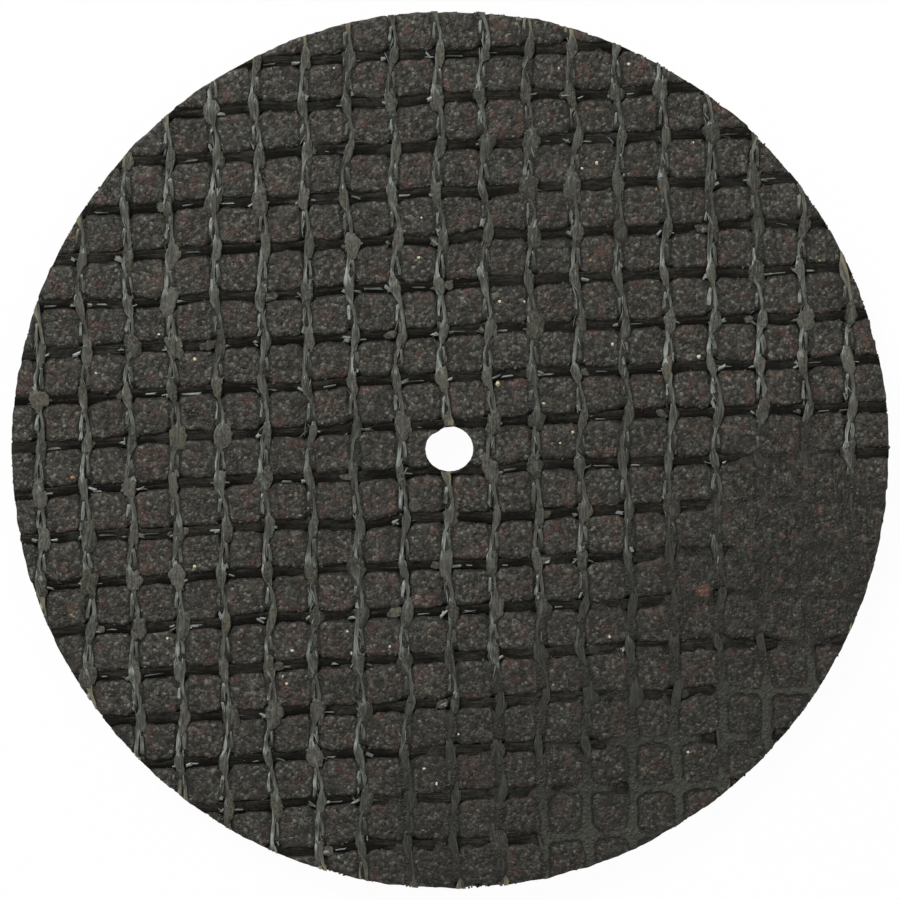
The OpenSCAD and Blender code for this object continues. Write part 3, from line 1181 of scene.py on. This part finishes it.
class WarpYarns(Yarns):
    """The warp pairs of one face: an upper end pressed over each weft, a lower end that dives under it."""

    SIDES = 6
    # Number of strands of the lower end and of the upper end
    STRANDS = {False: 2, True: 3}
    BUNDLE_R, KNOT_SPREAD, HALF_THICKNESS = 0.022, 0.1, 0.024
    # Half width of the lower strands, and of the upper ones between the wefts and over them
    LOWER_W, UPPER_W, KNOT_W = 0.053, 0.051, 0.06
    # How far each end stands from the pair's middle halfway between two wefts
    APART = 0.097
    # Heights from the pads' plane: upper end over a weft, both ends between wefts, lower end under a weft
    KNOT_Z, MIDDLE_Z, DIVE_Z = 0.01, -0.02, -0.24
    STRAY = SmoothNoise(401, 0.5)

    def _course(self, warp: int, along: Array, strand: int, upper: bool) -> tuple[Array, ...]:
        """Course of a strand.

        Args:
            warp: the warp's number.
            along: distances along the warp.
            strand: the strand's number in its end.
            upper: whether it belongs to the upper end.
        Returns:
            Distance aside, height, half width, half thickness and distance above the nearest weft.
        """
        met = self.net.weft_met(warp, along) + 0.08 * self.STRAY.at(along / 2.2, 9.0 * warp)
        above = met - np.rint(met)
        apart, sway = self.APART * np.sin(np.pi * met), self.net.SWAY * np.cos(np.pi * met)
        twist = np.pi * met * (1.0 if upper else -1.0) + 2 * np.pi * strand / self.STRANDS[upper] + 0.7 * warp
        bundle = self.BUNDLE_R * np.cos(twist)
        middle = self.MIDDLE_Z + 0.6 * self.BUNDLE_R * np.sin(twist)
        if upper:
            press = ramp(0.34, 0.08, np.abs(above))
            aside = sway + apart + mixed(bundle, (strand - 1) * self.KNOT_SPREAD, press)
            height, wide = mixed(middle, self.KNOT_Z, press), mixed(self.UPPER_W, self.KNOT_W, press)
        else:
            press = ramp(0.4, 0.12, np.abs(above))
            aside = -0.6 * sway - apart + 0.8 * bundle
            height, wide = mixed(middle, self.DIVE_Z, press), self.LOWER_W
        mark = 5.0 * warp + 1.7 * strand + (0 if upper else 60)
        aside = aside + 0.025 * self.STRAY.at(along, mark) + 0.03 * self.STRAY.at(along / 3, 5.0 * warp)
        aside = aside + 0.018 * self.STRAY.at(along / 0.45, mark + 200)
        height = height + 0.02 * self.STRAY.at(along / 0.6, mark + 300)
        swell = 1 + 0.4 * self.STRAY.at(along / 0.5 + 40, mark)
        return aside, height, wide * swell, self.HALF_THICKNESS * swell, above

    def _strand(self, warp: int, span: Span, strand: int, upper: bool) -> Piece:
        """One strand of a warp's upper or lower end."""
        net, flaws, offset = self.net, self.flaws, self.net.warp_offset(warp)
        rod, points = self.rod(self.SIDES, offset, span)
        along = self.along(
            points[:, 2], span, offset,
            lambda place: self._course(warp, place, strand, upper)[0] + net.warp_waver(warp, place),
        )
        aside, height, wide, tall, above = self._course(warp, along, strand, upper)
        x, y = net.on_warp(warp, along, aside + points[:, 0] * wide)
        cover, mark = flaws.cover(x, y), 7.0 * warp + 2.3 * strand + (0 if upper else 60)
        quick, slow = self.STRAY.at(along / 0.7 + 9, 2.0 * mark), self.STRAY.at(along / 6, 11.0 * warp)
        wet = np.maximum(flaws.wet(x, y), 0.8 * cover)
        sunk = cover * (0.07 + 0.07 * quick) + 0.022 * wet + 0.05 * flaws.flood(x, y)
        # Pale streaks, partly bare glass and partly painted highlight: strongest just above each weft and on
        # the left strand, the sides that face the key lamp
        bare = ramp(-0.3, 0.5, quick + 0.4 * slow) * ramp(0.02, 0.2, np.abs(above)) * (1 - 0.9 * wet)
        bare = bare * mixed(0.55, 1.0, ramp(-0.1, 0.2, above))
        radius = np.hypot(x, y)
        inward = np.minimum(radius - self.sizes.bore_r, self.sizes.radius - radius)
        weathered = np.maximum(ramp(-0.5, 0.5, self.STRAY.at(along / 2, mark)), radius < 2.0)
        # Painted highlight: the left strand keeps the full pale streak, the right one less
        store(rod, "bare", bare * mixed(0.3, 1.0, ramp(0.06, -0.06, aside)))
        store(rod, "wet", wet)
        store(rod, "aged", ramp(0.55, 0.1, inward) * weathered)
        return self.lay(rod, x, y, height + points[:, 1] * tall - sunk)

    def build(self, upper: bool) -> Piece:
        """All the upper or lower ends of the face as one piece."""
        rods = [
            self._strand(warp, span, strand, upper)
            for warp in self.net.warps
            for span in self.spans(self.net.warp_offset(warp))
            for strand in range(self.STRANDS[upper])
        ]
        return joined(rods, self.named(f"warp_{'upper' if upper else 'lower'}_ends"))


class PressedResin(Yarns):
    """Flats of resin pressed against the mould: almonds over the knots, and blobs beside them."""

    OUTLINE = {Face.FRONT: 40, Face.BACK: 14}
    # How far a knot sits to the right of its warp
    SHIFT = 0.04
    HALF_LENGTH, HALF_WIDTH, TOP, FOOT = 0.5, 0.2, 0.036, -0.12
    # Chance of a blob, of a broad flat and of a yellowed one
    BLOBS, BROAD, YELLOWED = 0.12, 0.3, 0.22
    # Unevenness of an outline: share and pace around it
    UNEVEN = ((0.24, 1.4), (0.15, 4.0), (0.07, 9.0))
    CROOKS = SmoothNoise(501, 1.0)

    def _model(self) -> Piece:
        """A round cake with a bevelled top, of unit radius, from z = 0 to z = 1."""
        sides = self.OUTLINE[self.face]
        cake = added(bpy.ops.mesh.primitive_circle_add, vertices=sides, radius=1.0, fill_type="NGON")
        with editing():
            bpy.ops.mesh.extrude_region_move(TRANSFORM_OT_translate={"value": (0, 0, 0.74)})
            bpy.ops.mesh.inset(thickness=0.16, depth=0.26)
            bpy.ops.mesh.inset(thickness=0.4, depth=0.0)
            bpy.ops.mesh.select_all(action="SELECT")
            bpy.ops.mesh.normals_make_consistent(inside=False)
        return cake

    def _cake(self, x: Array, y: Array, top: float) -> Array:
        """Vertex places of one cake from its plan and the height of its top."""
        sunk = 0.25 * self.flaws.cover(x, y) + 0.035 * self.flaws.wet(x, y)
        lumps = 0.016 * (self.unit[:, 2] > 0.9) * self.CROOKS.at(x / 0.16, y / 0.16)
        height = mixed(self.FOOT, top, self.unit[:, 2]) + lumps - sunk
        return self.on_face(*self.sizes.trimmed(x, y), height)

    def _plan(self, long: float, wide: float, point: float, crook: float) -> Points:
        """Outline of a cake.

        Args:
            long: half its length.
            wide: half its width.
            point: how pointed its ends are, or how square below zero.
            crook: how crooked it is.
        Returns:
            Distances along and aside.
        """
        x, y = self.unit[:, 0], self.unit[:, 1]
        angle, reach = np.arctan2(y, x), np.hypot(x, y)
        sine, cosine = np.sin(angle), np.cos(angle)
        uneven = 1 + crook * np.sin(2 * angle + 40 * crook)
        for share, pace in self.UNEVEN:
            uneven = uneven + share * self.CROOKS.at(pace * cosine + 900 * crook, pace * sine + 700 * crook)
        aside = np.sign(cosine) * np.abs(cosine) ** (1 + point)
        along = np.sign(sine) * np.abs(sine) ** min(1 + point, 1)
        return reach * along * long * uneven, reach * aside * wide * uneven

    def _crossing(self, warp: int, weft: int) -> list[Array]:
        """Vertex places of the cakes at one crossing of the net."""
        net = self.net
        long, wide, lean, lift, crook, chance, side = self.rng.uniform(0.0, 1.0, 7)
        place, across = net.place_on_warp(warp, weft), net.place_on_weft(warp, weft)
        centre = net.on_warp(warp, place, net.sway(warp, place))
        flawed = max(self.flaws.cover(*centre), self.flaws.flood(*centre))
        if math.hypot(*centre) > self.sizes.radius - 0.1 or flawed > 0.4:
            return []
        broad = chance > 1 - self.BROAD
        along, aside = self._plan(
            self.HALF_LENGTH * mixed(0.75, 1.2, long),
            self.HALF_WIDTH * (mixed(1.2, 1.6, wide) if broad else mixed(0.65, 1.05, wide)),
            0.1 if broad else 0.4,
            mixed(-0.1, 0.1, crook),
        )
        aside = net.sway(warp, place + along) + self.SHIFT + aside + mixed(-0.15, 0.15, lean) * along
        cakes = [self._cake(*net.on_warp(warp, place + along, aside), self.TOP - 0.02 * lift)]
        if chance < self.BLOBS:
            long, wide, crook = mixed(0.15, 0.28, long), mixed(0.13, 0.19, wide), mixed(-0.2, 0.2, crook)
            along, aside = self._plan(long, wide, -0.2, crook)
            shift = mixed(0.2, 0.34, lean) * (1 if side > 0.4 else -1)
            cakes.append(self._cake(*net.on_weft(weft, across + shift + along, aside), -0.02 - 0.03 * lift))
        return cakes

    def build(self) -> Piece:
        """All the flats of the face as one piece."""
        model = self._model()
        self.unit = points_of(model)
        crossings = itertools.product(self.net.warps, self.net.wefts)
        cakes = np.array([cake for crossing in crossings for cake in self._crossing(*crossing)])
        piece = scattered(model, cakes, self.named("pressed_resin"))
        middles, each = cakes.mean(axis=1), (len(cakes), 1)
        wet = self.flaws.wet(middles[:, 0], middles[:, 1])[:, None]
        tones = self.rng.uniform(0.15, 0.95, each) - 0.9 * wet
        # Painted highlight along each cake's bevelled rim: a tone mostly lighter, sometimes a little darker,
        # than its top
        painted_rim_highlight = (np.hypot(self.unit[:, 0], self.unit[:, 1]) > 0.9) * self.rng.uniform(-0.2, 0.6, each)
        store(piece, "tone", tones + painted_rim_highlight)
        aged = self.rng.uniform(0.0, 1.0, each) > 1 - self.YELLOWED
        store(piece, "aged", np.repeat(aged, len(self.unit), axis=1))
        return piece


class Shard(Enum):
    """Kinds of shard.

    Each has its chance at a crossing, its number, its distance from there and the stray of that, half its
    length and width, its height and its turn.
    """

    # The tufts lie low in the wefts' grooves: pale glass chips that also serve as painted glints beside the
    # knots
    LEFT_TUFT = (0.42, 2, -0.25, 0.05, 0.1, 0.045, -0.02, 0.9)
    RIGHT_TUFT = (0.42, 1, 0.27, 0.07, 0.12, 0.045, -0.03, 0.4)
    SLIVER = (0.36, 1, 0.58, 0.25, 0.2, 0.032, -0.08, 0.08)
    SHOULDER = (0.6, 2, 0.34, 0.08, 0.1, 0.045, 0.005, 0.4)


class LooseFibres(Yarns):
    """Pale broken filaments along the yarns, and shards of glass and resin beside the knots; those in the
    wefts' grooves also serve as painted glints.
    """

    WARP_FIBRES, WEFT_FIBRES = 700, 60
    # Height of a filament's middle on a warp and in a weft's groove, and how far its ends dip
    WARP_Z, WEFT_Z, DIP = 0.014, -0.135, 0.04
    SHARD_HALF_THICKNESS = 0.045

    def _clear(self, x: Array, y: Array) -> bool:
        """Whether points lie on the open face, away from the rim, the hole and the flaws."""
        radius = np.hypot(x, y)
        flawed = np.maximum(self.flaws.cover(x, y), self.flaws.flood(x, y))
        inside = (radius < self.sizes.radius - 0.25) & (radius > self.sizes.bore_r + 0.35)
        return (inside & (flawed < 0.3)).all()

    def _thread(self, on_warps: bool, unit: Array) -> Array | None:
        """Vertex places of one filament, or nothing where it can't lie."""
        net, rng, reach = self.net, self.rng, self.sizes.radius
        size = rng.uniform(0.01, 0.026)
        middle, half = rng.uniform(-reach, reach), rng.uniform(0.1, 0.3)
        share = unit[:, 2] * 2 - 1
        fine = size * np.sqrt(np.clip(1.05 - share**2, 0.05, 1.0))
        along = middle + half * share
        bend = rng.normal(0.0, 0.02) * share**2
        if on_warps:
            warp = int(rng.integers(-net.warp_reach, net.warp_reach + 1))
            aside = net.sway(warp, along) * rng.uniform(-1.2, 1.2) + rng.uniform(-0.12, 0.08)
            aside = aside + rng.normal(0.0, 0.05) * share + bend
            x, y = net.on_warp(warp, along, aside + fine * unit[:, 0])
        else:
            # Pale fibres in the lower half of a weft's groove, which also serve as painted glints there
            weft = int(rng.integers(-net.weft_reach, net.weft_reach))
            aside = rng.uniform(-0.14, 0.03) + rng.normal(0.0, 0.02) * share + bend
            x, y = net.on_weft(weft, along, aside + fine * unit[:, 0])
        if not self._clear(x, y) or self.flaws.wet(x, y).max() > rng.uniform(0.3, 1.0):
            return None
        level = self.WARP_Z if on_warps else self.WEFT_Z
        return self.on_face(x, y, level + fine * unit[:, 1] - self.DIP * share**4)

    def build(self) -> Piece:
        """All the filaments of the face as one piece."""
        model = ringed_rod(5, 6)
        unit = points_of(model)
        kinds = [True] * self.WARP_FIBRES + [False] * self.WEFT_FIBRES
        threads = [self._thread(on_warps, unit) for on_warps in kinds]
        laid = np.array([thread for thread in threads if thread is not None])
        return scattered(model, laid, self.named("loose_fibres"))

    def build_shards(self) -> Piece:
        """Shards in the wefts' grooves beside the knots, pale chips that also serve as painted glints, and on
        the knots' shoulders.
        """
        net, rng, shards = self.net, self.rng, []
        model = added(bpy.ops.mesh.primitive_cylinder_add, vertices=5, radius=1.0, depth=2.0)
        unit = points_of(model)[:, [2, 0, 1]]
        for warp, weft, kind in itertools.product(net.warps, net.wefts, Shard):
            share, count, away, stray, long, wide, lift, turn = kind.value
            side = rng.choice([-0.1, 0.1])
            for _ in range(count * (rng.uniform() < share)):
                slide, aside, angle = rng.uniform(-1.0, 1.0, 3) * (stray, 0.06, turn)
                chip = unit * rng.uniform(0.4, 1.4, (len(unit), 1)) * rng.uniform(0.5, 1.5, 3)
                chip = chip * np.array([long, wide, self.SHARD_HALF_THICKNESS])
                along = away + slide + chip[:, 0] * math.cos(angle) - chip[:, 1] * math.sin(angle)
                aside = aside + chip[:, 0] * math.sin(angle) + chip[:, 1] * math.cos(angle)
                if kind is Shard.SHOULDER:
                    x, y = net.on_warp(warp, net.place_on_warp(warp, weft) + along, side + aside)
                else:
                    x, y = net.on_weft(weft, net.place_on_weft(warp, weft) + along, aside - 0.05)
                if self._clear(x, y) and self.flaws.wet(x, y).mean() < rng.uniform():
                    shards.append(self.on_face(x, y, lift + chip[:, 2]))
        return scattered(model, np.array(shards), self.named("shards"))


class GritChips:
    """Single grains that stand out of the pads and of the rim."""

    ON_FRONT, ON_RIM = 27000, 1200
    # Grains are flatter than they are wide
    FLAT = np.array([1.0, 1.0, 0.7])
    # How far grains stay clear of the rim's and the hole's edge
    CLEAR = 0.08
    # Pale foreign grains that the front shows: x, y, size and kind, 2 for amber and 3 for cream
    SPECKS = (
        (1.73, 2.4, 0.15, 3), (-4.24, 13.9, 0.08, 3), (5.33, 10.44, 0.08, 3), (-6.1, -8.25, 0.08, 3),
        (-13.75, -1.0, 0.11, 2), (-3.6, -7.4, 0.07, 3), (4.95, -4.2, 0.07, 3), (3.4, 1.7, 0.07, 3),
        (-9.3, 3.3, 0.08, 3), (-13.8, 1.75, 0.06, 3), (-10.6, 4.2, 0.07, 3), (-1.05, 8.45, 0.07, 3),
        (-1.15, 7.0, 0.07, 3), (1.8, 5.4, 0.07, 3), (2.7, 5.4, 0.06, 3), (5.1, 6.9, 0.08, 2),
        (4.45, 0.65, 0.06, 3), (4.0, 0.25, 0.06, 3), (6.5, 14.05, 0.08, 3), (-12.9, 2.8, 0.06, 3),
        (-9.3, -4.24, 0.07, 3), (-13.8, -6.0, 0.07, 2), (-10.3, -6.85, 0.06, 3), (-3.75, -6.6, 0.06, 3),
        (-5.75, -7.3, 0.08, 3), (-5.95, -8.5, 0.06, 3), (3.95, 13.9, 0.07, 3), (4.8, 10.25, 0.06, 3),
        (8.85, 11.2, 0.06, 3), (5.9, 3.85, 0.07, 3), (9.05, 3.4, 0.08, 3), (13.45, 6.9, 0.08, 2),
        (7.5, 9.5, 0.06, 2), (8.65, -11.0, 0.08, 3), (-0.95, -11.6, 0.06, 3), (-0.5, -12.15, 0.08, 3),
        (-2.2, -7.15, 0.07, 3), (3.75, -8.55, 0.06, 2), (5.8, -6.8, 0.06, 3), (0.3, -10.35, 0.06, 3),
    )

    def __init__(self, relief: Relief, seed: int) -> None:
        """Keeps the relief of the face that shows, and starts drawing from a seed."""
        self.sizes, self.relief, self.rng = relief.net.sizes, relief, np.random.default_rng(seed)

    def _centres(self, size: Array) -> Points:
        """Places of the grains' middles, first on the front and then on the rim, and which ones are kept."""
        rng, sizes, count = self.rng, self.sizes, len(size)
        radius = np.sqrt(rng.uniform(sizes.bore_r**2, sizes.radius**2, self.ON_FRONT))
        turn = rng.uniform(-np.pi, np.pi, count)
        radius = np.concatenate([radius, np.full(self.ON_RIM, sizes.radius - 0.05)])
        x, y = radius * np.cos(turn), radius * np.sin(turn)
        height = sizes.pad_z + self.relief.height(x, y) - size * rng.uniform(0.0, 0.7, count)
        on_rim = np.arange(count) >= self.ON_FRONT
        height = np.where(on_rim, rng.uniform(-0.9, 0.85, count) * sizes.pad_z, height)
        bare = 1.0 - 0.75 * self.relief.flaws.wet(x, y)
        sunk = (self.relief.groove(x, y) > bare * rng.uniform(0.15, 0.95, count)) & ~on_rim
        inside = (radius > sizes.bore_r + self.CLEAR) & ((radius < sizes.radius - self.CLEAR) | on_rim)
        return np.stack([x, y, height], axis=-1), inside & ~sunk

    def build(self) -> Piece:
        """All the grains as one piece."""
        model = added(bpy.ops.mesh.primitive_cone_add, vertices=4, radius1=1.0, depth=1.4)
        unit, count = points_of(model), self.ON_FRONT + self.ON_RIM
        size = self.rng.uniform(0.028, 0.07, count)
        centres, kept = self._centres(size)
        turns = np.linalg.qr(self.rng.normal(0.0, 1.0, (count, 3, 3)))[0]
        stretch = self.rng.uniform(0.7, 1.25, (count, len(unit), 1))
        chips = np.einsum("nij,nvj->nvi", turns, unit[None] * stretch) * size[:, None, None]
        chips = chips * self.FLAT + centres[:, None, :]
        tones = self.rng.uniform(0.0, 1.0, count)
        piece = scattered(model, chips[kept], "grit_chips")
        store(piece, "tone", np.repeat(tones[kept], len(unit)))
        return piece

    def build_specks(self) -> Piece:
        """The pale foreign grains as one piece."""
        model = added(bpy.ops.mesh.primitive_ico_sphere_add, subdivisions=2, radius=1.0)
        unit, specks = points_of(model), []
        for x, y, size, _ in self.SPECKS:
            height = self.sizes.pad_z + float(self.relief.height(np.array(x), np.array(y)))
            uneven = self.rng.uniform(0.65, 1.1, (len(unit), 1)) * self.rng.uniform(0.6, 1.05, 3)
            specks.append(unit * uneven * size * self.FLAT + np.array((x, y, height)))
        piece = scattered(model, np.array(specks), "foreign_grains")
        store(piece, "tone", np.repeat([speck[3] for speck in self.SPECKS], len(unit)))
        return piece


class Studio:
    """White floor, soft lamps and a camera that looks straight down on the front face."""

    LENS_MM, SENSOR_MM, CLIP_START = 120.0, 36.0, 0.005
    # Place and side of each lamp in metres, and how bright it alone renders a white surface that lies flat
    LAMPS = {"key": ((-0.10, 0.15, 0.16), 0.09, 0.62), "fill": ((0.16, -0.06, 0.20), 0.14, 0.14)}
    WHITE, FLOOR = (1.0, 1.0, 1.0, 1.0), (0.85, 0.85, 0.85, 1.0)
    # Brightness of the surround, and share of plain white in what is seen of the floor
    SURROUND, GLOW = 0.28, 0.97

    def __init__(self, sizes: WheelSizes) -> None:
        """Keeps the wheel's sizes."""
        self.sizes = sizes

    def floor(self) -> None:
        """A white floor under the wheel, which keeps a faint shadow."""
        floor = added(bpy.ops.mesh.primitive_plane_add, size=4.0, location=(0, 0, 0))
        floor.name = "floor"
        material = bpy.data.materials.new("white_floor")
        material.use_nodes = True
        sheet = NodeSheet(material.node_tree)
        matt = sheet.add("ShaderNodeBsdfDiffuse", {"Color": self.FLOOR}).outputs[0]
        glow = sheet.add("ShaderNodeEmission", {"Color": self.WHITE, "Strength": 1.0}).outputs[0]
        path = sheet.add("ShaderNodeLightPath").outputs
        seen = sheet.math("MAXIMUM", path["Is Camera Ray"], path["Is Glossy Ray"])
        seen = sheet.math("MAXIMUM", seen, path["Is Transmission Ray"])
        inputs = {0: sheet.times(seen, self.GLOW), 1: matt, 2: glow}
        both = sheet.add("ShaderNodeMixShader", inputs).outputs[0]
        sheet.add("ShaderNodeOutputMaterial", {0: both})
        floor.data.materials.append(material)

    def lights(self) -> None:
        """A key lamp from the upper left, a weak fill and a dim even surround."""
        for name, (place, side, level) in self.LAMPS.items():
            data = bpy.data.lights.new(name, "AREA")
            distance = Vector(place).length
            data.size, data.energy = side, level * math.pi**2 * distance**2 / (place[2] / distance)
            lamp = bpy.data.objects.new(name, data)
            lamp.location, lamp.rotation_euler = place, Vector(place).to_track_quat("Z", "Y").to_euler()
            bpy.context.collection.objects.link(lamp)
        world = bpy.data.worlds.new("surround")
        world.use_nodes = True
        background = world.node_tree.nodes["Background"].inputs
        background["Color"].default_value = self.WHITE
        background["Strength"].default_value = self.SURROUND
        bpy.context.scene.world = world

    def camera(self) -> None:
        """A camera over the wheel, framed as the photograph is."""
        scale = 2 * self.sizes.radius * MM / WHEEL_DIAMETER_PX
        data = bpy.data.cameras.new("camera")
        data.lens, data.sensor_width, data.clip_start = self.LENS_MM, self.SENSOR_MM, self.CLIP_START
        camera = bpy.data.objects.new("camera", data)
        bpy.context.collection.objects.link(camera)
        camera.location = (
            (PHOTO_PX / 2 - WHEEL_CENTRE_PX[0]) * scale,
            (WHEEL_CENTRE_PX[1] - PHOTO_PX / 2) * scale,
            self.sizes.thickness * MM + PHOTO_PX * scale * self.LENS_MM / self.SENSOR_MM,
        )
        bpy.context.scene.camera = camera
        bpy.context.scene.view_settings.view_transform = "Standard"

    def build(self) -> None:
        """Sets up the whole studio."""
        self.floor()
        self.lights()
        self.camera()


def main() -> None:
    """Builds the wheel's pieces in order."""
    logging.basicConfig(level=logging.INFO, format="%(message)s")
    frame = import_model()
    sizes = WheelSizes.from_frame(frame)
    Studio(sizes).build()
    effects = SharedEffects()
    reliefs = {
        face: Relief(GlassNet(sizes, face, seed), MouldingFlaws(face), seed + 10)
        for face, seed in ((Face.FRONT, 5), (Face.BACK, 6))
    }
    front = reliefs[Face.FRONT]
    disc = AbrasiveDisc(sizes, reliefs)
    disc.dress(disc.build(), AbrasiveFinish(effects))
    grit, grains = GritChips(front, 91), GritFinish(effects).material()
    settle(grit.build(), grains, sizes, 20.0)
    settle(grit.build_specks(), grains, sizes, 40.0)
    finishes = (GlassFinish, WetResinFinish, PressedResinFinish, FibreFinish)
    glass, wet, pressed, pale = (finish(effects).material() for finish in finishes)
    for face, step in ((Face.FRONT, 0.16), (Face.BACK, 0.4)):
        settle(WeftYarns(reliefs[face], step).build(), wet, sizes, 60.0)
        for upper in (True, False):
            settle(WarpYarns(reliefs[face], step).build(upper), glass, sizes, 60.0)
        settle(PressedResin(reliefs[face], step).build(), pressed, sizes, 40.0)
    fibres = LooseFibres(front, 0.1)
    settle(fibres.build(), pale, sizes, 60.0)
    settle(fibres.build_shards(), pale, sizes, 25.0)


if __name__ == "__main__":
    main()
